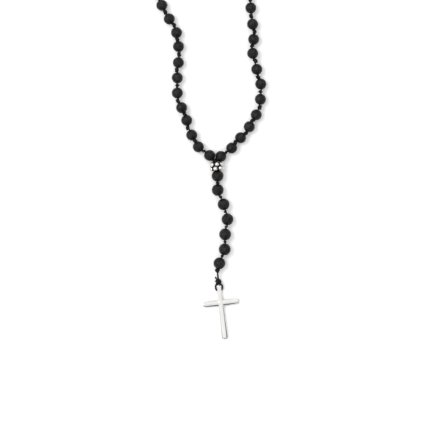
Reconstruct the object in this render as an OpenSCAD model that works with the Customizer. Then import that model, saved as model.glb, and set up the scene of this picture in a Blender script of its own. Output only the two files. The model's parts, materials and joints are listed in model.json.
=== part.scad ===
// Rosary on a knotted cord: a closed neck loop of stone beads, a granulated spacer,
// a seven-bead pendant and a cross that hangs in a cord bail.
// It lies flat on the XY plane, pendant towards -Y, and all sizes are in millimetres.

/* [Beads] */

// Diameter of the beads on the neck loop
loop_bead_diameter = 7.8; // [7:0.1:8]
// Diameter of the beads on the pendant
pendant_bead_diameter = 8.2; // [7.4:0.1:8.4]
// Diameter of the hole through every stone bead
bead_bore_diameter = 1.2; // [1.15:0.05:1.6]
// Depth of the countersink at each mouth of a bead's hole
bore_mouth_depth = 0.5; // [0.2:0.1:0.8]
// How much the countersink widens the hole's radius
bore_mouth_flare = 0.6; // [0.3:0.1:0.9]

/* [Cord] */

// Diameter of the cord in the open
cord_diameter = 1.2; // [1.15:0.05:1.25]
// Diameter of the cord where it is squeezed through a bead
squeezed_cord_diameter = 1.0; // [0.8:0.05:1.05]
// Diameter of the gathered strands inside the spacer
gathered_cord_diameter = 1.4; // [1.3:0.05:1.45]
// Diameter of a small knot
knot_diameter = 2.5; // [2:0.1:2.6]
// Width of each of a small knot's two turns
knot_turn_width = 0.95; // [0.7:0.05:1]
// Diameter of the tight round knots that the strands bend about
pivot_knot_diameter = 2.0; // [1.6:0.1:2]
// Height of the tight round knots
pivot_knot_height = 2.2; // [1.6:0.1:3]
// Free play between a round knot and the next strand's end
pivot_play = 0.08; // [0.05:0.01:0.15]

/* [Spacer] */

// Diameter of the large hole through the spacer
spacer_bore_diameter = 3.4; // [3.3:0.1:3.5]
// Outer diameter of the spacer's dark core
spacer_core_diameter = 6.3; // [6:0.1:6.6]
// Length of the core along the cord
spacer_core_length = 5.0; // [4:0.1:5.2]
// Radius of each round granule
granule_radius = 1.65; // [1.5:0.05:1.7]
// Radius of the ring on which the granules sit
granule_ring_radius = 3.55; // [3.3:0.05:3.6]
// Distance of each row of granules from the spacer's middle
granule_row_offset = 1.5; // [1.3:0.05:1.6]
// Granules in each of the two rows
granules_per_row = 6; // [5:1:7]
// Turn of the upper row of granules about the spacer's axis
upper_row_turn = 10; // [0:1:30]
// Turn of the lower row of granules
lower_row_turn = -14; // [-30:1:0]
// Drop of the cord below the spacer's axis, where it lies in the large hole
cord_sag_in_spacer = 0.9; // [0.8:0.05:0.9]

/* [Cross] */

// Distance from the crossing to the top end
cross_top = 12.9; // [12:0.1:14]
// Distance from the crossing to the bottom end
cross_bottom = 27.0; // [25:0.5:30]
// Distance from the crossing to each arm's end
cross_arm = 13.35; // [12:0.05:15]
// Width of the post at its top end
post_top_width = 2.6; // [2.4:0.1:2.8]
// Width of the post at the crossing
post_mid_width = 3.4; // [3:0.1:4]
// Width of the post at its bottom end
post_bottom_width = 4.4; // [4:0.1:5.2]
// Width of the arms at their ends
arm_end_width = 3.8; // [3.4:0.1:4.4]
// Width of the arms at the crossing
arm_mid_width = 4.5; // [4:0.1:5]
// Thickness at the crest of the domed front
cross_thickness = 3.0; // [2.8:0.1:3.4]
// Radius of the dome along the post and the arms
cross_dome_radius = 3.4; // [3.2:0.1:5]
// Turn of the cross on the table
cross_turn = 6.5; // [0:0.5:15]
// Distance of the bail's hole below the top end
bail_hole_drop = 3.4; // [3.2:0.1:3.6]
// Diameter of the bail's hole
bail_hole_diameter = 1.4; // [1.3:0.05:1.5]

/* [Bail] */

// Radius of the big knot above the cross
bail_knot_radius = 2.2; // [1.8:0.1:2.3]
// Distance from the cross's axis to each leg of the cord bail
bail_leg_offset = 2.5; // [2.3:0.1:2.8]
// Diameter of the cord where it makes the bail
bail_cord_diameter = 1.2; // [0.9:0.05:1.2]

/* [Hidden] */

$fn = 48;

loop_radius = loop_bead_diameter / 2;
pendant_radius = pendant_bead_diameter / 2;
bore_radius = bead_bore_diameter / 2;
cord_radius = cord_diameter / 2;
spacer_radius = granule_ring_radius + granule_radius;
spacer_cord_height = spacer_radius - cord_sag_in_spacer;
// The core's lathe seam faces between two granules of both rows.
core_seam_turn = 28;
bail_hole_y = cross_top - bail_hole_drop;
bail_hole_z = cross_thickness / 2;
// The open cord starts a little inside each bead's mouth, and the squeezed cord
// reaches a little out of it, so that the two join.
cord_tuck = -0.15;
stem_reach = 0.2;

// Bead centres seen from above, counted away from the spacer.
left_seen = [
    [-4.0, 44.1], [-12.3, 50.4], [-17.2, 59.2], [-20.9, 70.1],
    [-24.7, 79.4], [-27.9, 90.3], [-27.9, 101.5], [-27.1, 112.8],
    [-27.0, 124.7], [-28.5, 135.0], [-33.8, 145.1], [-39.3, 155.2]
];
right_seen = [
    [4.3, 43.4], [12.3, 49.6], [18.9, 57.2], [25.4, 65.3],
    [30.5, 74.2], [33.6, 85.6], [33.9, 96.9], [30.9, 107.8],
    [27.9, 119.6], [28.6, 130.0], [27.8, 141.2], [26.5, 153.2]
];
pendant_beads = [
    [1.9, 28.9], [2.0, 18.5], [6.3, 7.9], [9.2, -3.2],
    [7.5, -14.3], [7.2, -25.4], [3.3, -35.7]
];
spacer_centre = [1.0, 35.8];
last_pendant_knot = [1.8, -40.9];
bail_knot_centre = [2.45, -49.4, 2.7];
bail_stub_tip = [0.1, -45.7, 3.3];
cross_centre = [4.3, -65.0];
top_left_knot = [-42.0, 160.1];
top_right_knot = [26.0, 158.9];

// The unseen third pair of strands may take any direction: both take this one.
third_strand = [-9.2, 65.8];
// Outward bow of the unseen strands 3, 4 and 5.
left_bows = [3, 2.5, 6];
right_bows = [2, 1.5, 5];
far_bead_counts = [6, 6, 5];

function unit(v) = v / norm(v);
function middle(a, b) = (a + b) / 2;
function at_height(p, z) = [p[0], p[1], z];
function running_sum(start, steps, i) = i == 0 ? start : running_sum(start, steps, i - 1) + steps[i - 1];
function part_of(list, first, last) = [for (i = [first : last]) list[i]];

// The pivot knots. Opposite strands of the loop are parallel and equally long,
// so the loop stays closed while it spreads.
base_left = middle(left_seen[0], left_seen[1]);
base_right = middle(right_seen[0], right_seen[1]);
waist_left = middle(left_seen[5], left_seen[6]);
waist_right = middle(right_seen[5], right_seen[6]);
left_steps = [
    waist_left - base_left,
    top_left_knot - waist_left,
    third_strand,
    top_right_knot - waist_right,
    waist_right - base_right
];
left_pivots = [for (i = [0 : 5]) running_sum(base_left, left_steps, i)];
right_steps = [for (i = [4 : -1 : 0]) left_steps[i]];
right_pivots = [for (i = [0 : 5]) running_sum(base_right, right_steps, i)];

// Evenly spaced bead centres on an arc that bows to the left of the way from a to b.
function bowed_beads(a, b, bow, count) =
    let (
        chord = norm(b - a),
        ahead = unit(b - a),
        aside = [-ahead[1], ahead[0]] * sign(bow),
        half_angle = 2 * atan(2 * abs(bow) / chord),
        radius = chord / (2 * sin(half_angle))
    )
    [for (i = [0 : count - 1])
        let (turn = half_angle * ((2 * i + 1) / count - 1))
        a + ahead * (chord / 2 + radius * sin(turn))
          + aside * radius * (cos(turn) - cos(half_angle))];

function far_route(pivots, bows, side, strand) =
    concat(
        [pivots[strand - 1]],
        bowed_beads(pivots[strand - 1], pivots[strand], side * bows[strand - 3],
                    far_bead_counts[strand - 3]),
        [pivots[strand]]
    );
function near_route(pivots, seen, strand) =
    strand == 1
        ? concat([pivots[0]], part_of(seen, 1, 5), [pivots[1]])
        : concat([pivots[1]], part_of(seen, 6, 11), [pivots[2]]);
function left_route(strand) =
    strand < 3 ? near_route(left_pivots, left_seen, strand)
               : far_route(left_pivots, left_bows, 1, strand);
function right_route(strand) =
    strand < 3 ? near_route(right_pivots, right_seen, strand)
               : far_route(right_pivots, right_bows, -1, strand);
nape_centre = middle(left_pivots[5], right_pivots[5]);
nape_route = [left_pivots[5], nape_centre, right_pivots[5]];

pendant_knots = concat(
    [for (i = [0 : 5]) middle(pendant_beads[i], pendant_beads[i + 1])],
    [last_pendant_knot]
);
function pendant_route(n) = [pendant_knots[n - 2], pendant_beads[n - 1], pendant_knots[n - 1]];

spacer_axis = unit(middle(left_seen[0], right_seen[0]) - pendant_beads[0]);
spacer_top_mouth = spacer_centre + spacer_axis * 3;
left_yoke_route = [spacer_top_mouth, left_seen[0], base_left];
right_yoke_route = [spacer_top_mouth, right_seen[0], base_right];
drop_route = [spacer_centre, pendant_beads[0], pendant_knots[0]];

// A bead lies square to the bisector of the cord's two directions at its centre.
function bead_axis(route, i) = unit(unit(route[i + 1] - route[i]) + unit(route[i] - route[i - 1]));

// Middle of the whole outline, which becomes the origin.
loop_centres = concat(
    left_seen, right_seen, [nape_centre],
    [for (strand = [3 : 5], i = [1 : far_bead_counts[strand - 3]]) left_route(strand)[i]],
    [for (strand = [3 : 5], i = [1 : far_bead_counts[strand - 3]]) right_route(strand)[i]]
);
outline_left = min([for (p = loop_centres) p[0]]) - loop_radius;
outline_right = max([for (p = loop_centres) p[0]]) + loop_radius;
outline_top = max([for (p = loop_centres) p[1]]) + loop_radius;
foot_radius = post_bottom_width / 2;
outline_bottom = cross_centre[1] - (cross_bottom - foot_radius) * cos(cross_turn) - foot_radius;
origin = [(outline_left + outline_right) / 2, (outline_bottom + outline_top) / 2, 0];

module on_table() {
    translate(-origin) children();
}

// Turns the Z axis of its children onto a direction.
module facing(direction) {
    ahead = unit(direction);
    rotate([0, acos(ahead[2]), atan2(ahead[1], ahead[0])]) children();
}

module rod(a, b, radius) {
    translate(a) facing(b - a) cylinder(r = radius, h = norm(b - a));
}

// ---- Beads ----

// Half of a bead's section: a half disc less the countersunk hole.
module bead_section(radius) {
    mouth = radius - bore_mouth_depth;
    flare = bore_radius + bore_mouth_flare;
    difference() {
        circle(r = radius);
        polygon([
            [-radius - 1, -radius - 1], [flare, -radius - 1], [flare, -radius],
            [bore_radius, -mouth], [bore_radius, mouth],
            [flare, radius], [flare, radius + 1], [-radius - 1, radius + 1]
        ]);
    }
}

module bored_bead(centre, axis, radius) {
    translate(at_height(centre, radius)) facing(at_height(axis, 0))
        rotate_extrude() bead_section(radius);
}

module stone_bead(route, i, radius) {
    color("#2b2a29") on_table() bored_bead(route[i], bead_axis(route, i), radius);
}

module stone_beads(route) {
    for (i = [1 : len(route) - 2]) stone_bead(route, i, loop_radius);
}

// ---- Cord ----

// Where the cord meets a bead's surface. The cord's height is the bead's radius.
function entry_point(route, i, radius, beyond = 0) =
    at_height(route[i] - bead_axis(route, i) * (radius + beyond), radius);
function exit_point(route, i, radius, beyond = 0) =
    at_height(route[i] + bead_axis(route, i) * (radius + beyond), radius);

// A span of cord with a small overhand knot at its middle: two turns with a waist.
module knotted_span(a, b) {
    reach = norm(b - a);
    turn = knot_turn_width / 2;
    outer = knot_diameter / 2;
    translate(a) facing(b - a) rotate_extrude() polygon([
        [0, 0], [cord_radius, 0],
        [cord_radius, reach / 2 - 2 * turn], [outer - 0.2, reach / 2 - 1.6 * turn],
        [outer, reach / 2 - turn], [outer - 0.25, reach / 2],
        [outer, reach / 2 + turn], [outer - 0.2, reach / 2 + 1.6 * turn],
        [cord_radius, reach / 2 + 2 * turn], [cord_radius, reach], [0, reach]
    ]);
}

// A tight round knot whose upright side is the bearing of the next strand.
module pivot_knot(p, height) {
    rim = 0.35;
    half = pivot_knot_height / 2;
    outer = pivot_knot_diameter / 2;
    translate(at_height(p, height)) rotate_extrude() polygon([
        [0, -half], [outer - rim, -half], [outer, -half + rim],
        [outer, half - rim], [outer - rim, half], [0, half]
    ]);
}

module pivot_clearance(p, height) {
    translate(at_height(p, height))
        cylinder(r = pivot_knot_diameter / 2 + pivot_play, h = 4, center = true);
}

// The cord inside a bead. It ends inside the wider open cord at both mouths.
module stem(route, i, radius) {
    rod(entry_point(route, i, radius, stem_reach), exit_point(route, i, radius, stem_reach),
        squeezed_cord_diameter / 2);
}

// Cord through every bead of a route, with a small knot between neighbours.
module strung_cord(route, radius) {
    last = len(route) - 2;
    rod(at_height(route[0], radius), entry_point(route, 1, radius, cord_tuck), cord_radius);
    for (i = [1 : last]) stem(route, i, radius);
    if (last > 1) for (i = [1 : last - 1]) {
        knotted_span(exit_point(route, i, radius, cord_tuck),
                     entry_point(route, i + 1, radius, cord_tuck));
    }
    rod(exit_point(route, last, radius, cord_tuck), at_height(route[last + 1], radius),
        cord_radius);
}

// A strand turns about the knot at its start and carries the knot at its end.
module strand_cord(route, radius) {
    start = route[0];
    end = route[len(route) - 1];
    color("#1c1b1b") on_table() {
        difference() {
            strung_cord(route, radius);
            pivot_clearance(start, radius);
        }
        pivot_knot(end, radius);
    }
}

function in_spacer(along) = at_height(spacer_centre + spacer_axis * along, spacer_cord_height);

module yoke_arm(route) {
    rod(in_spacer(2.7), entry_point(route, 1, loop_radius, cord_tuck), cord_radius);
    stem(route, 1, loop_radius);
    rod(exit_point(route, 1, loop_radius, cord_tuck), at_height(route[2], loop_radius), cord_radius);
    pivot_knot(route[2], loop_radius);
}

// The two ends of the loop, gathered in the spacer, and the drop to the pendant.
module yoke_cord() {
    color("#1c1b1b") on_table() {
        yoke_arm(left_yoke_route);
        yoke_arm(right_yoke_route);
        rod(in_spacer(-1.5), in_spacer(3.2), gathered_cord_diameter / 2);
        rod(in_spacer(-1), entry_point(drop_route, 1, pendant_radius, cord_tuck), cord_radius);
        stem(drop_route, 1, pendant_radius);
        rod(exit_point(drop_route, 1, pendant_radius, cord_tuck),
            at_height(pendant_knots[0], pendant_radius), cord_radius);
        pivot_knot(pendant_knots[0], pendant_radius);
    }
}

module nape_cord() {
    color("#1c1b1b") on_table() difference() {
        strung_cord(nape_route, loop_radius);
        pivot_clearance(nape_route[0], loop_radius);
        pivot_clearance(nape_route[2], loop_radius);
    }
}

// ---- Spacer ----

module granule_row(height, turn) {
    for (i = [0 : granules_per_row - 1])
        rotate([0, 0, turn + i * 360 / granules_per_row])
            translate([granule_ring_radius, 0, height]) sphere(r = granule_radius);
}

module spacer_core() {
    bore = spacer_bore_diameter / 2;
    outer = spacer_core_diameter / 2;
    half = spacer_core_length / 2;
    rotate_extrude() polygon([
        [bore, -half + 0.4], [bore + 0.3, -half], [outer - 0.3, -half], [outer, -half + 0.3],
        [outer, half - 0.3], [outer - 0.3, half], [bore + 0.3, half], [bore, half - 0.4]
    ]);
}

module spacer_bead() {
    color("#b9b9bb") on_table() translate(at_height(spacer_centre, spacer_radius))
    facing(at_height(spacer_axis, 0)) {
        rotate([0, 0, core_seam_turn]) spacer_core();
        granule_row(granule_row_offset, upper_row_turn);
        granule_row(-granule_row_offset, lower_row_turn);
    }
}

// ---- Cross ----

// A flat bar from [0, 0] along X, its far end rounded.
module bar_outline(start_width, end_width, reach) {
    end_radius = end_width / 2;
    polygon([
        [-0.5, -start_width / 2], [-0.5, start_width / 2],
        [reach - end_radius, end_radius], [reach - end_radius, -end_radius]
    ]);
    translate([reach - end_radius, 0]) circle(r = end_radius);
}

module domed_bar(start_width, end_width, reach) {
    intersection() {
        linear_extrude(height = cross_thickness + 1)
            bar_outline(start_width, end_width, reach);
        translate([-2, 0, cross_thickness - cross_dome_radius]) rotate([0, 90, 0])
            cylinder(r = cross_dome_radius, h = reach + 4);
    }
}

module cross() {
    color("#c9c9cc") on_table() translate(cross_centre) rotate([0, 0, cross_turn])
    difference() {
        union() {
            rotate([0, 0, 90]) domed_bar(post_mid_width, post_top_width, cross_top);
            rotate([0, 0, -90]) domed_bar(post_mid_width, post_bottom_width, cross_bottom);
            domed_bar(arm_mid_width, arm_end_width, cross_arm);
            rotate([0, 0, 180]) domed_bar(arm_mid_width, arm_end_width, cross_arm);
        }
        translate([0, bail_hole_y, bail_hole_z]) rotate([0, 90, 0])
            cylinder(d = bail_hole_diameter, h = 8, center = true);
    }
}

// ---- Bail ----

function on_cross(x, y, z) =
    [cross_centre[0] + x * cos(cross_turn) - y * sin(cross_turn),
     cross_centre[1] + x * sin(cross_turn) + y * cos(cross_turn),
     z];

module bail_leg(side) {
    elbow = on_cross(side * bail_leg_offset, bail_hole_y - 0.2, bail_hole_z);
    shoulder = on_cross(side * bail_leg_offset, bail_hole_y + 3.3, bail_hole_z + 0.5);
    shoulder_end = on_cross(side * bail_leg_offset, bail_hole_y + 3.6, bail_hole_z + 0.55);
    rod(elbow, shoulder_end, bail_cord_diameter / 2 - 0.06);
    rod(shoulder, bail_knot_centre + [side * 0.8, 0, 0], bail_cord_diameter / 2);
}

// The straight run through the cross, a little longer than the distance between the legs.
module bail_crossing() {
    reach = bail_leg_offset + bail_cord_diameter / 2;
    rod(on_cross(-reach, bail_hole_y, bail_hole_z), on_cross(reach, bail_hole_y, bail_hole_z),
        bail_cord_diameter / 2);
}

module bail_knot() {
    translate(bail_knot_centre) sphere(r = bail_knot_radius);
}

module bail_cord() {
    start = at_height(last_pendant_knot, pendant_radius);
    color("#1c1b1b") on_table() {
        difference() {
            rod(start, bail_knot_centre + [0.3, 1, -0.2], cord_radius);
            pivot_clearance(last_pendant_knot, pendant_radius);
        }
        bail_knot();
        rod(bail_knot_centre + [-0.4, 1.2, 0.6], bail_stub_tip, cord_radius);
        bail_crossing();
        bail_leg(-1);
        bail_leg(1);
    }
}

// ---- One module for each piece ----

module pendant_bead(n) {
    if (n == 1) stone_bead(drop_route, 1, pendant_radius);
    else stone_bead(pendant_route(n), 1, pendant_radius);
}
module seen_bead(first_route, routes, n) {
    if (n == 1) stone_bead(first_route, 1, loop_radius);
    else if (n < 7) stone_bead(routes[0], n - 1, loop_radius);
    else stone_bead(routes[1], n - 6, loop_radius);
}
module left_bead(n) {
    seen_bead(left_yoke_route, [left_route(1), left_route(2)], n);
}
module right_bead(n) {
    seen_bead(right_yoke_route, [right_route(1), right_route(2)], n);
}

module pendant_bead_1() pendant_bead(1);
module pendant_bead_2() pendant_bead(2);
module pendant_bead_3() pendant_bead(3);
module pendant_bead_4() pendant_bead(4);
module pendant_bead_5() pendant_bead(5);
module pendant_bead_6() pendant_bead(6);
module pendant_bead_7() pendant_bead(7);

module pendant_cord_2() strand_cord(pendant_route(2), pendant_radius);
module pendant_cord_3() strand_cord(pendant_route(3), pendant_radius);
module pendant_cord_4() strand_cord(pendant_route(4), pendant_radius);
module pendant_cord_5() strand_cord(pendant_route(5), pendant_radius);
module pendant_cord_6() strand_cord(pendant_route(6), pendant_radius);
module pendant_cord_7() strand_cord(pendant_route(7), pendant_radius);

module left_cord_1() strand_cord(left_route(1), loop_radius);
module left_cord_2() strand_cord(left_route(2), loop_radius);
module left_cord_3() strand_cord(left_route(3), loop_radius);
module left_cord_4() strand_cord(left_route(4), loop_radius);
module left_cord_5() strand_cord(left_route(5), loop_radius);
module right_cord_1() strand_cord(right_route(1), loop_radius);
module right_cord_2() strand_cord(right_route(2), loop_radius);
module right_cord_3() strand_cord(right_route(3), loop_radius);
module right_cord_4() strand_cord(right_route(4), loop_radius);
module right_cord_5() strand_cord(right_route(5), loop_radius);

module left_bead_01() left_bead(1);
module left_bead_02() left_bead(2);
module left_bead_03() left_bead(3);
module left_bead_04() left_bead(4);
module left_bead_05() left_bead(5);
module left_bead_06() left_bead(6);
module left_bead_07() left_bead(7);
module left_bead_08() left_bead(8);
module left_bead_09() left_bead(9);
module left_bead_10() left_bead(10);
module left_bead_11() left_bead(11);
module left_bead_12() left_bead(12);
module right_bead_01() right_bead(1);
module right_bead_02() right_bead(2);
module right_bead_03() right_bead(3);
module right_bead_04() right_bead(4);
module right_bead_05() right_bead(5);
module right_bead_06() right_bead(6);
module right_bead_07() right_bead(7);
module right_bead_08() right_bead(8);
module right_bead_09() right_bead(9);
module right_bead_10() right_bead(10);
module right_bead_11() right_bead(11);
module right_bead_12() right_bead(12);

module left_beads_13_to_18() stone_beads(left_route(3));
module left_beads_19_to_24() stone_beads(left_route(4));
module left_beads_25_to_29() stone_beads(left_route(5));
module right_beads_13_to_18() stone_beads(right_route(3));
module right_beads_19_to_24() stone_beads(right_route(4));
module right_beads_25_to_29() stone_beads(right_route(5));
module nape_bead() stone_beads(nape_route);

// ---- Drawing ----

yoke_cord();
spacer_bead();
pendant_bead_1();
pendant_bead_2();
pendant_bead_3();
pendant_bead_4();
pendant_bead_5();
pendant_bead_6();
pendant_bead_7();
pendant_cord_2();
pendant_cord_3();
pendant_cord_4();
pendant_cord_5();
pendant_cord_6();
pendant_cord_7();
bail_cord();
cross();
left_cord_1();
left_cord_2();
left_cord_3();
left_cord_4();
left_cord_5();
right_cord_1();
right_cord_2();
right_cord_3();
right_cord_4();
right_cord_5();
left_bead_01();
left_bead_02();
left_bead_03();
left_bead_04();
left_bead_05();
left_bead_06();
left_bead_07();
left_bead_08();
left_bead_09();
left_bead_10();
left_bead_11();
left_bead_12();
right_bead_01();
right_bead_02();
right_bead_03();
right_bead_04();
right_bead_05();
right_bead_06();
right_bead_07();
right_bead_08();
right_bead_09();
right_bead_10();
right_bead_11();
right_bead_12();
left_beads_13_to_18();
left_beads_19_to_24();
left_beads_25_to_29();
right_beads_13_to_18();
right_beads_19_to_24();
right_beads_25_to_29();
nape_cord();
nape_bead();
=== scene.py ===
"""Looks of a knotted-cord rosary: porous black beads, knotted cord, granulated spacer, cross."""

import json
import math

import bpy
import numpy as np
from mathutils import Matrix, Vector


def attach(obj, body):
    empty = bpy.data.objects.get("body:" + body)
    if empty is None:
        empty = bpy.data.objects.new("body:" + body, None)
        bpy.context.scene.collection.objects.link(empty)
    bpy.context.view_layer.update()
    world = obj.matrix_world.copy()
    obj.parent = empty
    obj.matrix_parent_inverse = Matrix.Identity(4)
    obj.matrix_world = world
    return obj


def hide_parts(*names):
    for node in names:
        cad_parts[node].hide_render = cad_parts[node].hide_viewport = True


MM = 0.001
FULL_TURN = 2 * math.pi
# Where a wave may start along itself, in radians.
ANY_PHASE = 6.28
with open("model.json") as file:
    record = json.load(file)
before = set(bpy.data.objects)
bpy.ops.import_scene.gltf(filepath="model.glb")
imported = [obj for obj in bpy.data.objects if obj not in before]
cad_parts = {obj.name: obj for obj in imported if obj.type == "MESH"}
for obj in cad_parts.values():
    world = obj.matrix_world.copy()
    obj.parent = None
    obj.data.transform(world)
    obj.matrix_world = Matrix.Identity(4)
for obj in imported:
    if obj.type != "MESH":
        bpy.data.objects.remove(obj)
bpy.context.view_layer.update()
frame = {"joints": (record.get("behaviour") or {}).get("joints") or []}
joints = {joint["name"]: joint for joint in frame["joints"]}

# Sizes shared with the part's source, in metres.
LOOP_RADIUS = 3.9 * MM
PENDANT_RADIUS = 4.1 * MM
CORD_RADIUS = 0.6 * MM
# The rough stones stand a little out of their ground round.
LOOP_STONE_RADIUS = LOOP_RADIUS + 0.2 * MM
PENDANT_STONE_RADIUS = PENDANT_RADIUS + 0.3 * MM
# First and last bead of each side's strands 1 and 2.
NEAR_BEADS = {1: (2, 6), 2: (7, 12)}
# The strands behind the neck: how many beads each has, how far each bows, its beads' names.
FAR_BEADS = {3: 6, 4: 6, 5: 5}
FAR_BOWS = {"left": {3: 3 * MM, 4: 2.5 * MM, 5: 6 * MM}, "right": {3: 2 * MM, 4: 1.5 * MM, 5: 5 * MM}}
FAR_NAMES = {3: "beads_13_to_18", 4: "beads_19_to_24", 5: "beads_25_to_29"}


def place(joint_name):
    return np.array(joints[joint_name]["pos_m"], float)


def axis_of(joint_name):
    return np.array(joints[joint_name]["axis"], float)


def unit(vector):
    return vector / np.linalg.norm(vector)


# ---- Camera: the view seen straight from above ----

CAMERA_HEIGHT = 1.2
# Width of the view at the height of the beads' middles.
VIEW_WIDTH = 318.2 * MM
# From the spacer to the middle of the view.
VIEW_OFFSET = np.array([-1.0, -35.8, 0.0]) * MM


def make_camera():
    middle = place("spacer_spin") + VIEW_OFFSET
    data = bpy.data.cameras.new("view_from_above")
    data.sensor_width = 36
    data.lens = data.sensor_width * (CAMERA_HEIGHT - LOOP_RADIUS) / VIEW_WIDTH
    data.clip_end = 20
    camera = bpy.data.objects.new("view_from_above", data)
    camera.location = (middle[0], middle[1], CAMERA_HEIGHT)
    bpy.context.scene.collection.objects.link(camera)
    bpy.context.scene.camera = camera


# ---- Routes, all taken from the frame's joints ----


def bowed_points(start, end, bow, count):
    """Evenly spaced places on an arc from start to end that bows to the left by bow."""
    chord = np.linalg.norm(end - start)
    ahead = unit(end - start)
    aside = np.array([-ahead[1], ahead[0], 0]) * math.copysign(1, bow)
    half = 2 * math.atan(2 * abs(bow) / chord)
    radius = chord / (2 * math.sin(half))
    points = []
    for i in range(count):
        turn = half * ((2 * i + 1) / count - 1)
        along = chord / 2 + radius * math.sin(turn)
        off = radius * (math.cos(turn) - math.cos(half))
        points.append(start + ahead * along + aside * off)
    return points


def strand_pivots(side):
    first = {"left": "loop_spread", "right": "right_bend_1"}[side]
    pivots = [place(first)] + [place(f"{side}_bend_{k}") for k in range(2, 6)]
    last = place("nape_bend")
    if side == "right":
        last = last + place("right_bend_1") - place("loop_spread")
    return pivots + [last]


def strand_route(side, k):
    """Start knot, bead centres and end knot of one strand of the loop."""
    pivots = strand_pivots(side)
    if k < 3:
        first, last = NEAR_BEADS[k]
        beads = [place(f"{side}_bead_{n:02d}_spin") for n in range(first, last + 1)]
    else:
        bow = FAR_BOWS[side][k] * (1 if side == "left" else -1)
        beads = bowed_points(pivots[k - 1], pivots[k], bow, FAR_BEADS[k])
    return [pivots[k - 1]] + beads + [pivots[k]]


def bead_axis(route, i):
    return unit(unit(route[i + 1] - route[i]) + unit(route[i] - route[i - 1]))


# ---- Mesh helpers ----

CORD_STEP = 0.25 * MM
CORD_PLIES = 3
# A direction that no cord's first step follows.
NOT_ALONG_A_CORD = np.array([0.13, 0.21, 1.0])


def new_object(name, vertices, faces, material):
    mesh = bpy.data.meshes.new(name)
    mesh.from_pydata([tuple(v) for v in vertices], [], faces)
    mesh.update()
    mesh.materials.append(material)
    mesh.polygons.foreach_set("use_smooth", [True] * len(mesh.polygons))
    piece = bpy.data.objects.new(name, mesh)
    bpy.context.scene.collection.objects.link(piece)
    return piece


def shade_points(piece, name, values):
    """Keeps one number for each vertex, for a material to read."""
    attribute = piece.data.attributes.new(name, "FLOAT", "POINT")
    attribute.data.foreach_set("value", values)


def joined(parts):
    """Several (vertices, faces) pairs as one."""
    vertices = []
    faces = []
    for part_vertices, part_faces in parts:
        shift = len(vertices)
        vertices.extend(part_vertices)
        faces.extend([tuple(i + shift for i in face) for face in part_faces])
    return vertices, faces


def grid_faces(rows, columns, close_rows=False):
    """Quads of a grid whose columns close on themselves."""
    faces = []
    last = rows if close_rows else rows - 1
    for row in range(last):
        below = row * columns
        above = ((row + 1) % rows) * columns
        for column in range(columns):
            right = (column + 1) % columns
            faces.append((below + column, below + right, above + right, above + column))
    return faces


def end_caps(rows, columns):
    """The two faces that close the first and the last row of a grid."""
    first = tuple(range(columns - 1, -1, -1))
    last = tuple(range((rows - 1) * columns, rows * columns))
    return [first, last]


def resampled(points):
    """The same polyline with evenly spaced points, one for each step of the cord."""
    points = np.array(points, float)
    lengths = np.linalg.norm(np.diff(points, axis=0), axis=1)
    travelled = np.concatenate([[0], np.cumsum(lengths)])
    count = max(2, int(round(travelled[-1] / CORD_STEP)) + 1)
    wanted = np.linspace(0, travelled[-1], count)
    return np.stack([np.interp(wanted, travelled, points[:, i]) for i in range(3)], 1)


def smoothed(points, rounds):
    """Rounds off corners. The two ends stay."""
    points = np.array(points, float)
    for _ in range(rounds):
        points[1:-1] = (points[:-2] + 2 * points[1:-1] + points[2:]) / 4
    return points


def tube(points, radius, sides=14, groove=0.12, lay=4.2 * MM, closed=False):
    """A twisted cord: plies wound round the path. Its ends are rounded, unless it is closed."""
    points = np.array(points, float)
    count = len(points)
    if closed:
        ahead = np.roll(points, -1, 0) - np.roll(points, 1, 0)
    else:
        ahead = np.gradient(points, axis=0)
    ahead /= np.linalg.norm(ahead, axis=1)[:, None]
    side = unit(np.cross(ahead[0], NOT_ALONG_A_CORD))
    steps = np.linalg.norm(np.diff(points, axis=0), axis=1)
    travelled = np.concatenate([[0], np.cumsum(steps)])
    angles = np.linspace(0, FULL_TURN, sides, endpoint=False)
    vertices = []
    for i in range(count):
        side = side - ahead[i] * side.dot(ahead[i])
        side /= np.linalg.norm(side)
        up = np.cross(ahead[i], side)
        wave = np.abs(np.cos(CORD_PLIES / 2 * (angles - FULL_TURN * travelled[i] / lay)))
        reach = radius * (1 - groove + groove * wave)
        if not closed:
            from_end = min(travelled[i], travelled[-1] - travelled[i])
            inside = max(0.0, 1 - from_end / radius)
            reach = reach * math.sqrt(max(0.02, 1 - inside * inside))
        ring = points[i] + np.outer(reach * np.cos(angles), side) + np.outer(reach * np.sin(angles), up)
        vertices.extend(ring)
    faces = grid_faces(count, sides, closed)
    if not closed:
        faces += end_caps(count, sides)
    return vertices, faces


def basis_for(axis):
    """Two directions square to an axis, the first as level as it can be."""
    axis = unit(axis)
    level = np.cross([0, 0, 1.0], axis)
    if np.linalg.norm(level) < 0.01:
        level = np.array([1.0, 0, 0])
    level = unit(level)
    return level, np.cross(axis, level)


def oriented(points, centre, axis):
    """Local points, Z along the bore, moved to a centre and turned onto an axis."""
    level, up = basis_for(axis)
    turn = np.stack([level, up, unit(axis)], 1)
    return np.array(points, float) @ turn.T + centre


def turned_points(outline, sides):
    """An outline turned about Z: one ring of points for each of its points."""
    angles = np.linspace(0, FULL_TURN, sides, endpoint=False)
    return np.stack([
        np.outer(outline[:, 0], np.cos(angles)),
        np.outer(outline[:, 0], np.sin(angles)),
        np.repeat(outline[:, 1:], sides, 1),
    ], 2).reshape(-1, 3)


def finish_piece(piece, body, node):
    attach(piece, body)
    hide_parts(node)


# ---- Materials ----


def node_material(name):
    material = bpy.data.materials.new(name)
    material.use_nodes = True
    tree = material.node_tree
    shader = tree.nodes["Principled BSDF"]
    coordinates = tree.nodes.new("ShaderNodeTexCoord")
    return material, tree, shader, coordinates.outputs["Object"]


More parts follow.
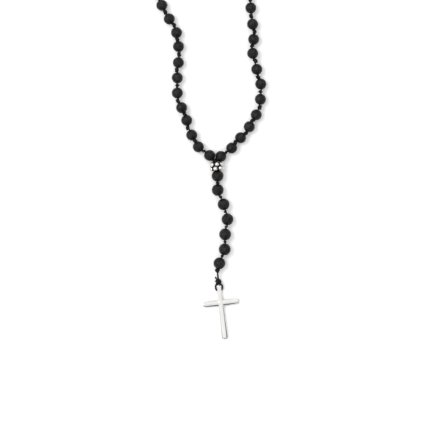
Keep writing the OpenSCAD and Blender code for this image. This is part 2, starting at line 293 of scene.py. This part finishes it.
def noise(tree, source, scale, detail, stretch=None):
    """Noise of about 1/scale metres. A stretch makes it streaky."""
    if stretch:
        mapping = tree.nodes.new("ShaderNodeMapping")
        mapping.inputs["Scale"].default_value = stretch
        tree.links.new(source, mapping.inputs["Vector"])
        source = mapping.outputs["Vector"]
    texture = tree.nodes.new("ShaderNodeTexNoise")
    texture.inputs["Scale"].default_value = scale
    texture.inputs["Detail"].default_value = detail
    tree.links.new(source, texture.inputs["Vector"])
    return texture.outputs["Fac"]


def cells(tree, source, scale):
    """Distance to the nearest cell's middle."""
    texture = tree.nodes.new("ShaderNodeTexVoronoi")
    texture.inputs["Scale"].default_value = scale
    tree.links.new(source, texture.inputs["Vector"])
    return texture.outputs["Distance"]


def ramp(tree, source, *stops):
    """Colours or greys by value: each stop is a place and a grey or a colour."""
    node = tree.nodes.new("ShaderNodeValToRGB")
    elements = node.color_ramp.elements
    while len(elements) < len(stops):
        elements.new(0.5)
    for element, (position, colour) in zip(elements, stops):
        element.position = position
        if not isinstance(colour, tuple):
            colour = (colour, colour, colour)
        element.color = (*colour, 1)
    tree.links.new(source, node.inputs["Fac"])
    return node.outputs["Color"]


def multiplied(tree, first, second):
    """One colour darkened or brightened by another."""
    node = tree.nodes.new("ShaderNodeMix")
    node.data_type = "RGBA"
    node.blend_type = "MULTIPLY"
    node.inputs["Factor"].default_value = 1.0
    tree.links.new(first, node.inputs["A"])
    tree.links.new(second, node.inputs["B"])
    return node.outputs["Result"]


def point_value(tree, name):
    """A number kept for each vertex by shade_points."""
    attribute = tree.nodes.new("ShaderNodeAttribute")
    attribute.attribute_name = name
    return attribute.outputs["Fac"]


def bump(tree, shader, height, distance, strength, below=None):
    node = tree.nodes.new("ShaderNodeBump")
    node.inputs["Distance"].default_value = distance
    node.inputs["Strength"].default_value = strength
    tree.links.new(height, node.inputs["Height"])
    if below:
        tree.links.new(below, node.inputs["Normal"])
    tree.links.new(node.outputs["Normal"], shader.inputs["Normal"])
    return node.outputs["Normal"]


def stone_material():
    """Matt black lava stone: mottled charcoal with small open pores, whose pits and hollows are darkened
    with painted shade.
    """
    material, tree, shader, place_in_space = node_material("black_lava_stone")
    mottle = noise(tree, place_in_space, 420, 5)
    grain = noise(tree, place_in_space, 3200, 3)
    pores = cells(tree, place_in_space, 1500)
    charcoal = ramp(tree, mottle, (0.38, (0.0035, 0.0034, 0.0035)), (0.62, (0.014, 0.0134, 0.0136)))
    pore_shade = ramp(tree, pores, (0.12, 0.2), (0.42, 1.0))
    speckle = ramp(tree, grain, (0.35, 0.6), (0.75, 1.4))
    # Painted shade: the mesh's pores darken with their depth.
    painted_pore_depth_shade = ramp(tree, point_value(tree, "pore"), (0.0, 1.2), (0.3, 0.5), (0.8, 0.05))
    colour = multiplied(tree, multiplied(tree, multiplied(tree, charcoal, pore_shade), speckle), painted_pore_depth_shade)
    tree.links.new(colour, shader.inputs["Base Color"])
    tree.links.new(ramp(tree, mottle, (0.36, 0.5), (0.64, 0.3)), shader.inputs["Roughness"])
    tree.links.new(ramp(tree, pores, (0.12, 0.02), (0.5, 0.22)), shader.inputs["Specular IOR Level"])
    pits = bump(tree, shader, ramp(tree, pores, (0.05, 0.0), (0.4, 1.0)), 0.12 * MM, 0.8)
    bump(tree, shader, grain, 0.05 * MM, 0.6, pits)
    return material


def cord_material():
    """Black waxed cord: fine fibres with a dull wax sheen."""
    material, tree, shader, place_in_space = node_material("black_waxed_cord")
    fibre = noise(tree, place_in_space, 2600, 5)
    dust = noise(tree, place_in_space, 500, 3)
    tree.links.new(ramp(tree, fibre, (0.3, 0.003), (0.75, 0.012)), shader.inputs["Base Color"])
    tree.links.new(ramp(tree, dust, (0.3, 0.45), (0.7, 0.68)), shader.inputs["Roughness"])
    shader.inputs["Specular IOR Level"].default_value = 0.16
    bump(tree, shader, fibre, 0.06 * MM, 0.7)
    return material


def granule_material():
    """Silver granules, bright on their crests and darkened in the crevices: partly oxide, partly painted
    shade and painted dark reflection.
    """
    material, tree, shader, place_in_space = node_material("bright_granulated_silver")
    shader.inputs["Metallic"].default_value = 1.0
    wear = noise(tree, place_in_space, 900, 4)
    fine = noise(tree, place_in_space, 6000, 2)
    silver = ramp(tree, wear, (0.3, (0.56, 0.55, 0.53)), (0.6, (0.74, 0.73, 0.715)))
    # Darker away from each crest: oxide in the crevices, plus painted shade and painted dark reflection
    # where granules meet each other and the core.
    crevice_oxide_and_shade = (0.55, (0.16, 0.15, 0.13))
    crests_and_shaded_crevices = ramp(tree, point_value(tree, "soot"), (0.0, 1.0), crevice_oxide_and_shade, (1.0, (0.025, 0.024, 0.02)))
    tree.links.new(multiplied(tree, silver, crests_and_shaded_crevices), shader.inputs["Base Color"])
    tree.links.new(ramp(tree, wear, (0.3, 0.34), (0.7, 0.2)), shader.inputs["Roughness"])
    bump(tree, shader, fine, 0.01 * MM, 0.4)
    return material


def oxidised_material():
    """Blackened silver of the spacer's core, rubbed brighter in spots."""
    material, tree, shader, place_in_space = node_material("oxidised_silver")
    shader.inputs["Metallic"].default_value = 0.85
    stain = noise(tree, place_in_space, 1100, 5)
    tarnish = ramp(tree, stain, (0.35, (0.030, 0.028, 0.026)), (0.72, (0.22, 0.21, 0.20)))
    tree.links.new(tarnish, shader.inputs["Base Color"])
    tree.links.new(ramp(tree, stain, (0.3, 0.62), (0.75, 0.36)), shader.inputs["Roughness"])
    bump(tree, shader, stain, 0.08 * MM, 0.6)
    return material


def polished_material():
    """Polished silver of the cross: hairline scratches and faint clouding."""
    material, tree, shader, place_in_space = node_material("polished_silver")
    shader.inputs["Metallic"].default_value = 1.0
    cloud = noise(tree, place_in_space, 160, 3)
    scratches = noise(tree, place_in_space, 1500, 3, (4, 1, 2))
    silver = ramp(tree, cloud, (0.3, (0.61, 0.605, 0.59)), (0.7, (0.68, 0.675, 0.66)))
    tree.links.new(silver, shader.inputs["Base Color"])
    tree.links.new(ramp(tree, scratches, (0.35, 0.13), (0.7, 0.19)), shader.inputs["Roughness"])
    bump(tree, shader, scratches, 0.002 * MM, 0.4)
    return material


def floor_material():
    """White paper sweep with the faintest tooth."""
    material, tree, shader, place_in_space = node_material("white_paper")
    tooth = noise(tree, place_in_space, 900, 3)
    tree.links.new(ramp(tree, tooth, (0.2, 0.90), (0.8, 0.93)), shader.inputs["Base Color"])
    shader.inputs["Roughness"].default_value = 0.95
    shader.inputs["Specular IOR Level"].default_value = 0.1
    return material


# ---- Beads ----

BEAD_SIDES = 96
BEAD_PORES = 150
# The drilled hole, a little wider than the cord in it, and its eased mouth.
BORE_RADIUS = 0.7 * MM
MOUTH_RADIUS = 1.12 * MM
MOUTH_DEPTH = 0.55 * MM
# A pore's radius is this times a random share to the power 1.4, which favours small ones.
PORE_SCALE = 1.15 * MM
PORE_SHARES = (0.34, 0.8)
# How deep a pore is for its radius.
PORE_DEPTHS = (0.2, 0.42)
UNEVENNESS = 0.012 * MM
# The mouths stay free of pores: they begin this far from the axis and deepen over the fade.
PORES_BEGIN = 1.1 * MM
PORES_FADE = 0.7 * MM


def bead_profile(radius):
    """One closed outline of a bored bead: outside, top mouth, bore, bottom mouth."""
    rim = math.asin(MOUTH_RADIUS / radius)
    turns = np.linspace(math.pi - rim, rim, 52)
    outside = np.stack([radius * np.sin(turns), radius * np.cos(turns)], 1)
    top = outside[-1]
    throat = np.array([BORE_RADIUS, top[1] - MOUTH_DEPTH])
    corner = np.array([BORE_RADIUS + 0.05 * MM, top[1] + 0.02 * MM])
    bends = np.linspace(0, 1, 6)[1:, None]
    mouth = (1 - bends) ** 2 * top + 2 * bends * (1 - bends) * corner + bends ** 2 * throat
    bore = np.linspace(throat, throat * [1, -1], 6)[1:-1]
    return np.concatenate([outside, mouth, bore, mouth[::-1] * [1, -1]]), len(outside)


def pitted(points, radius, rng):
    """Opens shallow pores in a round surface. Gives the points and how deep in a pore each is."""
    ways = points / np.linalg.norm(points, axis=1)[:, None]
    middles = rng.normal(size=(BEAD_PORES, 3))
    middles /= np.linalg.norm(middles, axis=1)[:, None]
    sizes = rng.uniform(*PORE_SHARES, BEAD_PORES) ** 1.4 * PORE_SCALE
    depths = sizes * rng.uniform(*PORE_DEPTHS, BEAD_PORES)
    apart = radius * np.arccos(np.clip(ways @ middles.T, -1, 1))
    hollow = np.clip(1 - (apart / sizes) ** 2, 0, 1) ** 1.5
    waves = rng.normal(size=(6, 3)) * 3.0
    shifts = rng.uniform(0, ANY_PHASE, 6)
    uneven = np.sin(ways @ waves.T + shifts).sum(1) * UNEVENNESS
    from_pole = np.hypot(points[:, 0], points[:, 1])
    fade = np.clip((from_pole - PORES_BEGIN) / PORES_FADE, 0, 1)
    change = fade * (uneven - np.max(hollow * depths, axis=1))
    return points + ways * change[:, None], fade * np.max(hollow, axis=1)


def bead_parts(centre, axis, radius, seed):
    rng = np.random.default_rng(seed)
    profile, outside_rows = bead_profile(radius)
    points = turned_points(profile, BEAD_SIDES)
    outside = outside_rows * BEAD_SIDES
    pore = np.zeros(len(points))
    points[:outside], pore[:outside] = pitted(points[:outside], radius, rng)
    faces = grid_faces(len(profile), BEAD_SIDES, close_rows=True)
    return oriented(points, centre, axis), faces, pore


def make_single_bead(node, radius, material, seed):
    centre = place(f"{node}_spin")
    vertices, faces, pore = bead_parts(centre, axis_of(f"{node}_spin"), radius, seed)
    piece = new_object(f"{node}_stone", vertices, faces, material)
    shade_points(piece, "pore", pore)
    finish_piece(piece, node, node)


def make_far_beads(side, k, material, seed):
    route = strand_route(side, k)
    parts = []
    pores = []
    for i in range(1, len(route) - 1):
        vertices, faces, pore = bead_parts(route[i], bead_axis(route, i), LOOP_STONE_RADIUS, seed + i)
        parts.append((vertices, faces))
        pores.append(pore)
    node = f"{side}_{FAR_NAMES[k]}"
    piece = new_object(f"{node}_stone", *joined(parts), material)
    shade_points(piece, "pore", np.concatenate(pores))
    finish_piece(piece, f"{side}_strand_{k}", node)


def make_beads(material):
    for n in range(1, 8):
        make_single_bead(f"pendant_bead_{n}", PENDANT_STONE_RADIUS, material, 100 + n)
    for side, base in (("left", 200), ("right", 300)):
        for n in range(1, 13):
            make_single_bead(f"{side}_bead_{n:02d}", LOOP_STONE_RADIUS, material, base + n)
        for k in FAR_BEADS:
            make_far_beads(side, k, material, base + 20 * k)
    make_single_bead("nape_bead", LOOP_STONE_RADIUS, material, 400)


# ---- Cord ----

# A knot of size 1: its cord's radius, the middle reach of its three lobes, how far that
# varies round the knot, and half its height from one turn's middle to the other's.
KNOT_CORD_RADIUS = 0.5 * MM
KNOT_REACH = 0.55 * MM
KNOT_LOBE = 0.27 * MM
KNOT_RISE = 0.5 * MM
# How far a knot's axis strays from its cord's.
KNOT_TILT = 0.24

# Knots by where they are: the size, and how tall for its size.
GAP_KNOT_SIZES = (1.2, 1.36)
GAP_KNOT_TALL = 1.75
STRAND_END_KNOT = (1.2, 1.15)
LINK_END_KNOT = (1.02, 0.9)
LAST_LINK_END_KNOT = (1.5, 1.3)
YOKE_SIDE_KNOT = (1.08, 0.7)
YOKE_PENDANT_KNOT = (1.22, 0.7)
GATHER_KNOT = (1.55, 1.2)
BAIL_KNOT = (1.92, 1.2)
# Millimetres a knot lies above and beside the straight way from bead to bead.
GAP_KNOT_LIFTS = (0, 0.2)
GAP_KNOT_LEANS = (0.3, 1.0)
END_KNOT_LEANS = (0, 0.12)


def knot_parts(centre, axis, shape, rng):
    """A pulled-tight overhand knot of a size and a tallness: a trefoil wound round the cord."""
    size, tall = shape
    t = np.linspace(0, FULL_TURN, 84, endpoint=False)
    lean = rng.uniform(0, FULL_TURN)
    reach = (KNOT_REACH + KNOT_LOBE * np.cos(3 * t)) * size
    path = np.stack([
        reach * np.cos(2 * t + lean),
        reach * np.sin(2 * t + lean),
        KNOT_RISE * size * tall * np.sin(3 * t),
    ], 1)
    tilt = axis + rng.normal(size=3) * KNOT_TILT
    thick = KNOT_CORD_RADIUS * size
    return tube(oriented(path, centre, tilt), thick, sides=10, groove=0.14, lay=2.6 * MM, closed=True)


def sideways(start, end, amount):
    """A level step square to the way from start to end."""
    return np.cross(unit(end - start), [0, 0, 1.0]) * amount


def strand_parts(route, radius, seed, end_knot):
    """Cord through the beads of a route, a knot in every gap and perhaps one at its end."""
    rng = np.random.default_rng(seed)
    points = [route[0]]
    knots = []
    side = rng.choice([-1, 1])
    for i in range(1, len(route) - 1):
        axis = bead_axis(route, i)
        entry = route[i] - axis * radius
        if i > 1:
            start = points[-1]
            middle = (start + entry) / 2 + np.array([0, 0, rng.uniform(*GAP_KNOT_LIFTS)]) * MM
            lean = sideways(start, entry, side * rng.uniform(*GAP_KNOT_LEANS) * MM)
            side = -side
            shape = (rng.uniform(*GAP_KNOT_SIZES), GAP_KNOT_TALL)
            knots.append((middle + lean, unit(entry - start), shape))
            points.append(middle + lean * 0.6)
        points.extend([entry, route[i] + axis * radius])
    points.append(route[-1])
    if end_knot:
        ahead = unit(route[-1] - points[-2])
        lean = sideways(points[-2], route[-1], side * rng.uniform(*END_KNOT_LEANS) * MM)
        knots.append((route[-1] + lean, ahead, end_knot))
    path = smoothed(resampled(points), 3)
    parts = [tube(path, CORD_RADIUS)]
    for centre, axis, shape in knots:
        parts.append(knot_parts(centre, axis, shape, rng))
    return path, joined(parts)


def make_strand(side, k, material, seed):
    route = strand_route(side, k)
    path, parts = strand_parts(route, LOOP_RADIUS, seed, STRAND_END_KNOT)
    piece = new_object(f"{side}_strand_{k}_cord", *parts, material)
    finish_piece(piece, f"{side}_strand_{k}", f"{side}_cord_{k}")


def make_short_link(node, body, route, radius, material, seed, end_knot):
    _, parts = strand_parts(route, radius, seed, end_knot)
    piece = new_object(f"{node}_knotted", *parts, material)
    finish_piece(piece, body, node)


def pendant_pivots():
    return [place(f"pendant_bend_{n}") for n in range(1, 7)] + [place("bail_bend")]


def spacer_axis_up():
    axis = axis_of("spacer_spin")
    return axis * math.copysign(1, axis[1])


def in_spacer(along, aside, height):
    """A place in the spacer's hole: millimetres along its axis, across it and up from Z 0."""
    axis = spacer_axis_up()
    across = np.array([axis[1], -axis[0], 0])
    point = place("spacer_spin") + axis * along * MM + across * aside * MM
    point[2] = height * MM
    return point


def yoke_strand(inside, before, bead, radius, knot, shape, rng):
    """One strand of the yoke: from inside the spacer through its bead to its knot."""
    axis = unit((unit(knot - bead) + unit(bead - before)) * [1, 1, 0])
    points = inside + [bead - axis * radius, bead + axis * radius, knot]
    path = smoothed(resampled(points), 4)
    return [tube(path, CORD_RADIUS), knot_parts(knot, unit(points[-1] - points[-2]), shape, rng)]


def make_yoke(material):
    parts = []
    sides = (("left", -0.58, "loop_spread", 20), ("right", 0.58, "right_bend_1", 21))
    for side, aside, pivot, seed in sides:
        inside = [in_spacer(-1.9, aside, 4.3), in_spacer(2.2, aside, 4.3)]
        bead = place(f"{side}_bead_01_spin")
        rng = np.random.default_rng(seed)
        parts += yoke_strand(inside, in_spacer(3, 0, 3.9), bead, LOOP_RADIUS, place(pivot),
                             YOKE_SIDE_KNOT, rng)
    inside = [in_spacer(1.9, 0, 5.1), in_spacer(-2.2, 0, 4.7)]
    bead = place("pendant_bead_1_spin")
    rng = np.random.default_rng(22)
    parts += yoke_strand(inside, place("spacer_spin"), bead, PENDANT_RADIUS, pendant_pivots()[0],
                         YOKE_PENDANT_KNOT, rng)
    gather = in_spacer(4.3, -0.9, 4.4)
    parts.append(knot_parts(gather, spacer_axis_up(), GATHER_KNOT, rng))
    piece = new_object("yoke_cord_strands", *joined(parts), material)
    finish_piece(piece, "yoke", "yoke_cord")


# The cross's own axes: X along the arms, Y up the post, Z out of its domed front.
CROSS_TURN = math.radians(6.5)
BAIL_HOLE_Y = 9.5 * MM
BAIL_HOLE_Z = 1.5 * MM
BAIL_LEG = 2.5 * MM
BAIL_MOUTH = 2.0 * MM
# The bail's cord is drawn a little thicker than the rest. It is declared at the common size.
BAIL_CORD_RADIUS = 0.68 * MM
# The bail's knot and its cut end, from the knot where the bail turns.
BAIL_KNOT_FROM_PIVOT = np.array([0.6, -8.8, -1.35]) * MM
BAIL_STUB_FROM_PIVOT = np.array([-1.7, -4.8, -0.8]) * MM


def cross_middle():
    """The crossing of post and arms, from the place of the bail's hole."""
    hole = place("cross_swing")
    down = np.array([math.sin(CROSS_TURN), -math.cos(CROSS_TURN), 0])
    middle = hole + down * BAIL_HOLE_Y
    middle[2] = 0
    return middle


def on_cross(points):
    points = np.array(points, float)
    cosine, sine = math.cos(CROSS_TURN), math.sin(CROSS_TURN)
    turned = np.stack([
        points[:, 0] * cosine - points[:, 1] * sine,
        points[:, 0] * sine + points[:, 1] * cosine,
        points[:, 2],
    ], 1)
    return turned + cross_middle()


def bail_leg_points(side, knot):
    """From the knot round one shoulder and down to the hole."""
    shoulder, low, mouth = on_cross([
        (side * (BAIL_LEG + 0.05 * MM), BAIL_HOLE_Y + 3.0 * MM, 2.1 * MM),
        (side * (BAIL_LEG - 0.05 * MM), BAIL_HOLE_Y + 0.9 * MM, 1.6 * MM),
        (side * BAIL_MOUTH, BAIL_HOLE_Y, BAIL_HOLE_Z),
    ])
    return [knot + np.array([side * 0.9, -0.9, -0.2]) * MM, shoulder, low, mouth]


def make_bail(material):
    start = place("bail_bend")
    knot = start + BAIL_KNOT_FROM_PIVOT
    stub = start + BAIL_STUB_FROM_PIVOT
    left = bail_leg_points(-1, knot)
    right = bail_leg_points(1, knot)
    points = [start, start + np.array([0.3, -4.5, -0.7]) * MM, knot + np.array([0.2, 0.9, -0.1]) * MM]
    points += left + right[::-1] + [knot + np.array([-0.4, 0.8, 0.8]) * MM, stub]
    path = smoothed(resampled(points), 5)
    rng = np.random.default_rng(5)
    parts = [tube(path, BAIL_CORD_RADIUS), knot_parts(knot, unit(start - knot), BAIL_KNOT, rng)]
    piece = new_object("bail_cord_knotted", *joined(parts), material)
    finish_piece(piece, "bail", "bail_cord")


def make_cords(material):
    for side, base in (("left", 500), ("right", 600)):
        for k in range(1, 6):
            make_strand(side, k, material, base + k)
    make_yoke(material)
    pivots = pendant_pivots()
    for n in range(2, 8):
        route = [pivots[n - 2], place(f"pendant_bead_{n}_spin"), pivots[n - 1]]
        end_knot = LAST_LINK_END_KNOT if n == 7 else LINK_END_KNOT
        make_short_link(f"pendant_cord_{n}", f"pendant_link_{n}", route, PENDANT_RADIUS, material, 700 + n,
                        end_knot)
    nape_route = [strand_pivots("left")[5], place("nape_bead_spin"), strand_pivots("right")[5]]
    make_short_link("nape_cord", "nape_strand", nape_route, LOOP_RADIUS, material, 800, end_knot=None)
    make_bail(material)


# ---- Spacer ----

GRANULE_RADIUS = 1.65 * MM
GRANULE_RING = 3.55 * MM
GRANULE_ROW = 1.5 * MM
GRANULES_PER_ROW = 6
GRANULE_UNEVENNESS = 0.006
# The crevice darkening (oxide and painted shade) starts this far round a granule from its crest and is
# full after the fade, in radians.
OXIDE_AND_SHADE_BEGINS = 1.2
OXIDE_AND_SHADE_FADE = 0.22
CORE_SIDES = 72
CORE_HALF_LENGTH = 2.5 * MM
CORE_BORE_RADIUS = 1.7 * MM
CORE_RADIUS = 2.75 * MM
CORE_WAVE = 0.22 * MM
# The rims stand this far out of the core, this far from its middle, and are this wide.
RIM_RISE = 0.22 * MM
RIM_PLACE = 2.25 * MM
RIM_WIDTH = 0.2 * MM
# The hole widens by the lip over the lip's depth at each end.
LIP = 0.12 * MM
LIP_DEPTH = 0.25 * MM
# Turns of the two rows, counted from the level direction square to the axis.
UPPER_ROW_TURN = math.radians(40)
LOWER_ROW_TURN = math.radians(16)


def granule(middle, outward, rng):
    """A slightly uneven melted ball, and how dark each of its points is made towards the crevices, from 0
    to 1: oxide and painted shade.
    """
    rows, sides = 28, 40
    turns = np.linspace(0.04, math.pi - 0.04, rows)
    profile = np.stack([np.sin(turns), -np.cos(turns)], 1)
    ball = turned_points(profile, sides)
    waves = rng.normal(size=(4, 3)) * 1.6
    shifts = rng.uniform(0, ANY_PHASE, 4)
    uneven = 1 + GRANULE_UNEVENNESS * np.sin(ball @ waves.T + shifts).sum(1)
    faces = grid_faces(rows, sides) + end_caps(rows, sides)
    from_crest = np.arccos(np.clip(ball @ unit(outward), -1, 1))
    soot = np.clip((from_crest - OXIDE_AND_SHADE_BEGINS) / OXIDE_AND_SHADE_FADE, 0, 1)
    return ball * (GRANULE_RADIUS * uneven)[:, None] + middle, faces, soot


def core_profile():
    """Outline of the spacer's core, with two raised rims and a waist between the rows."""
    half = CORE_HALF_LENGTH
    heights = np.linspace(-half, half, 41)
    waist = CORE_RADIUS + CORE_WAVE * np.cos(heights / half * 3 * math.pi)
    rims = RIM_RISE * np.exp(-((np.abs(heights) - RIM_PLACE) / RIM_WIDTH) ** 2)
    outside = np.stack([waist + rims, heights], 1)
    bore_heights = np.linspace(half - LIP_DEPTH, -half + LIP_DEPTH, 9)
    inside = np.stack([np.full(9, CORE_BORE_RADIUS), bore_heights], 1)
    lips = np.array([[CORE_BORE_RADIUS + LIP, half], [CORE_BORE_RADIUS + LIP, -half]])
    return np.concatenate([outside, lips[:1], inside, lips[1:]])


def granule_parts():
    """Both rows of granules round Z, with the crevice darkening (oxide and painted shade) on each point.
    """
    rng = np.random.default_rng(31)
    parts = []
    soot = []
    for row, turn in ((1, UPPER_ROW_TURN), (-1, LOWER_ROW_TURN)):
        for i in range(GRANULES_PER_ROW):
            angle = turn + i * FULL_TURN / GRANULES_PER_ROW
            outward = np.array([math.cos(angle), math.sin(angle), 0])
            middle = outward * GRANULE_RING + np.array([0, 0, row * GRANULE_ROW])
            ball, faces, oxide_and_shade_here = granule(middle, outward + [0, 0, 0.15 * row], rng)
            parts.append((ball, faces))
            soot.extend(oxide_and_shade_here)
    vertices, faces = joined(parts)
    return vertices, faces, soot


def make_spacer(bright, dark):
    centre = place("spacer_spin")
    axis = spacer_axis_up()
    outline = core_profile()
    core_faces = grid_faces(len(outline), CORE_SIDES, close_rows=True)
    core_points = oriented(turned_points(outline, CORE_SIDES), centre, axis)
    core = new_object("spacer_core", core_points, core_faces, dark)
    finish_piece(core, "spacer", "spacer_bead")
    vertices, faces, soot = granule_parts()
    granules = new_object("spacer_granules", oriented(vertices, centre, axis), faces, bright)
    shade_points(granules, "soot", soot)
    finish_piece(granules, "spacer", "spacer_bead")


# ---- Cross ----

CROSS_TOP = 12.9 * MM
CROSS_BOTTOM = 27.0 * MM
CROSS_ARM = 13.35 * MM
# Millimetres: the post's width at its foot, crossing and top, the arms' at three places.
POST_WIDTHS = [4.5, 3.5, 2.8]
ARM_WIDTHS = [4.4, 4.5, 3.7]
ARM_WIDEST = 6 * MM
POST_HEIGHT = 3.0 * MM
POST_DOME = 2.7 * MM
POST_TOP_ROUND = 0.45 * MM
POST_FOOT_ROUND = 1.3 * MM
ARM_HEIGHT = 2.75 * MM
ARM_DOME = 3.1 * MM
ARM_ROUND = 0.9 * MM
# The drill that bores the bail's hole: it reaches past both sides of the post.
DRILL_RADIUS = 0.76 * MM
DRILL_REACH = 4 * MM
DRILL_SIDES = 32
DOME_POINTS = 25
SHARP_EDGE = math.radians(38)


def bar_section(width, height, dome_radius):
    """A flat-backed bar's section: a dome over upright sides, edges eased."""
    half = width / 2
    ease = 0.16 * MM
    x = np.linspace(half - ease, -half + ease, DOME_POINTS)
    z = height - dome_radius + np.sqrt(dome_radius ** 2 - x ** 2)
    shoulder = z[0] - 0.11 * MM
    dome = np.stack([x, z], 1)
    right = np.array([[half - 0.3 * ease, z[0] - 0.02 * MM], [half, shoulder]])
    low = np.array([[half, 0.12 * MM], [half - 0.12 * MM, 0.0]])
    mirror = np.array([-1, 1])
    return np.concatenate([low[::-1], right[::-1], dome, right * mirror, low * mirror])


def bar_parts(from_end, to_end, width_at, height, dome_radius, from_round, to_round):
    """A bar lofted along Y, its two ends rounded off by their own radius."""
    quarter = np.linspace(0.0, math.pi / 2, 12)
    steps = np.concatenate([
        from_end + from_round * (1 - np.cos(quarter)),
        np.linspace(from_end + from_round, to_end - to_round, 44)[1:-1],
        to_end - to_round * (1 - np.cos(quarter[::-1])),
    ])
    vertices = []
    for y in steps:
        near, rounding = min((y - from_end, from_round), (to_end - y, to_round))
        missing = max(0.0, 1 - near / rounding)
        lost = rounding * (1 - math.sqrt(1 - missing * missing))
        section = bar_section(width_at(y) - 2 * lost, height - 0.8 * lost, dome_radius)
        vertices.extend([(x, y, z) for x, z in section])
    sides = len(section)
    return np.array(vertices), grid_faces(len(steps), sides) + end_caps(len(steps), sides)


def post_width(y):
    return float(np.interp(y, [-CROSS_BOTTOM, 0, CROSS_TOP], POST_WIDTHS)) * MM


def arm_width(x):
    return float(np.interp(abs(x), [0, ARM_WIDEST, CROSS_ARM], ARM_WIDTHS)) * MM


def boolean(target, tool, operation):
    """Applies one exact boolean and removes the tool."""
    modifier = target.modifiers.new("cut", "BOOLEAN")
    modifier.operation = operation
    modifier.object = tool
    modifier.solver = "EXACT"
    graph = bpy.context.evaluated_depsgraph_get()
    mesh = bpy.data.meshes.new_from_object(target.evaluated_get(graph))
    target.modifiers.clear()
    target.data = mesh
    bpy.data.objects.remove(tool)


def drill_parts():
    """A round rod along X through the bail's hole."""
    vertices = []
    for x in (-DRILL_REACH, DRILL_REACH):
        for turn in np.linspace(0, FULL_TURN, DRILL_SIDES, endpoint=False):
            y = BAIL_HOLE_Y + DRILL_RADIUS * math.cos(turn)
            z = BAIL_HOLE_Z + DRILL_RADIUS * math.sin(turn)
            vertices.append((x, y, z))
    return vertices, grid_faces(2, DRILL_SIDES) + end_caps(2, DRILL_SIDES)


def make_cross(material):
    post_vertices, post_faces = bar_parts(
        -CROSS_BOTTOM, CROSS_TOP, post_width, POST_HEIGHT, POST_DOME, POST_FOOT_ROUND, POST_TOP_ROUND)
    arm_vertices, arm_faces = bar_parts(
        -CROSS_ARM, CROSS_ARM, arm_width, ARM_HEIGHT, ARM_DOME, ARM_ROUND, ARM_ROUND)
    # The arms are lofted along Y too, then turned onto X.
    arm_vertices = arm_vertices[:, [1, 0, 2]] * [1, -1, 1]
    cross = new_object("cross_body", on_cross(post_vertices), post_faces, material)
    arms = new_object("cross_arms", on_cross(arm_vertices), arm_faces, material)
    boolean(cross, arms, "UNION")
    drill_vertices, drill_faces = drill_parts()
    drill = new_object("cross_drill", on_cross(drill_vertices), drill_faces, material)
    boolean(cross, drill, "DIFFERENCE")
    cross.data.set_sharp_from_angle(angle=SHARP_EDGE)
    finish_piece(cross, "cross", "cross")


# ---- Floor and light ----

FLOOR_HALF = 3.0
# The rough stones reach about this far below Z 0.
FLOOR_HEIGHT = -0.3 * MM
LAMP_OFFSET = Vector((-0.72, 0.36, 1.2))
LAMP_SIZE = 0.65
LAMP_ENERGY = 7


def make_floor(material):
    middle = place("spacer_spin") + VIEW_OFFSET
    corners = [(-1, -1), (1, -1), (1, 1), (-1, 1)]
    vertices = [(middle[0] + x * FLOOR_HALF, middle[1] + y * FLOOR_HALF, FLOOR_HEIGHT) for x, y in corners]
    floor = new_object("floor", vertices, [(0, 1, 2, 3)], material)


def make_light():
    middle = Vector(place("spacer_spin") + VIEW_OFFSET)
    data = bpy.data.lights.new("key", "AREA")
    data.shape = "DISK"
    data.size = LAMP_SIZE
    data.energy = LAMP_ENERGY
    lamp = bpy.data.objects.new("key", data)
    lamp.location = middle + LAMP_OFFSET
    lamp.rotation_euler = (middle - lamp.location).to_track_quat("-Z", "Y").to_euler()
    bpy.context.scene.collection.objects.link(lamp)


def make_world():
    """A pale room with greyer walls, a dark doorway in front and a dim right wall to edge metal."""
    world = bpy.data.worlds.new("pale_room")
    world.use_nodes = True
    tree = world.node_tree
    coordinates = tree.nodes.new("ShaderNodeTexCoord")
    towards = tree.nodes.new("ShaderNodeVectorMath")
    towards.operation = "DOT_PRODUCT"
    towards.inputs[1].default_value = Vector((0.25, -0.95, 0.05)).normalized()
    tree.links.new(coordinates.outputs["Generated"], towards.inputs[0])
    doorway = ramp(tree, towards.outputs["Value"], (0.0, 1.0), (0.72, 0.85), (0.9, 0.1), (1.0, 0.06))
    split = tree.nodes.new("ShaderNodeSeparateXYZ")
    tree.links.new(coordinates.outputs["Generated"], split.inputs["Vector"])
    walls = ramp(tree, split.outputs["Z"], (0.0, 0.4), (0.25, 0.6), (0.5, 0.94), (0.8, 1.0))
    right_wall = ramp(tree, split.outputs["X"], (0.72, 1.0), (0.94, 0.25))
    room = multiplied(tree, multiplied(tree, doorway, walls), right_wall)
    tree.links.new(room, tree.nodes["Background"].inputs["Color"])
    tree.nodes["Background"].inputs["Strength"].default_value = 1.4
    bpy.context.scene.world = world


make_camera()
make_cords(cord_material())
make_beads(stone_material())
make_spacer(granule_material(), oxidised_material())
make_cross(polished_material())
make_floor(floor_material())
make_light()
make_world()
bpy.context.scene.view_settings.view_transform = "Standard"
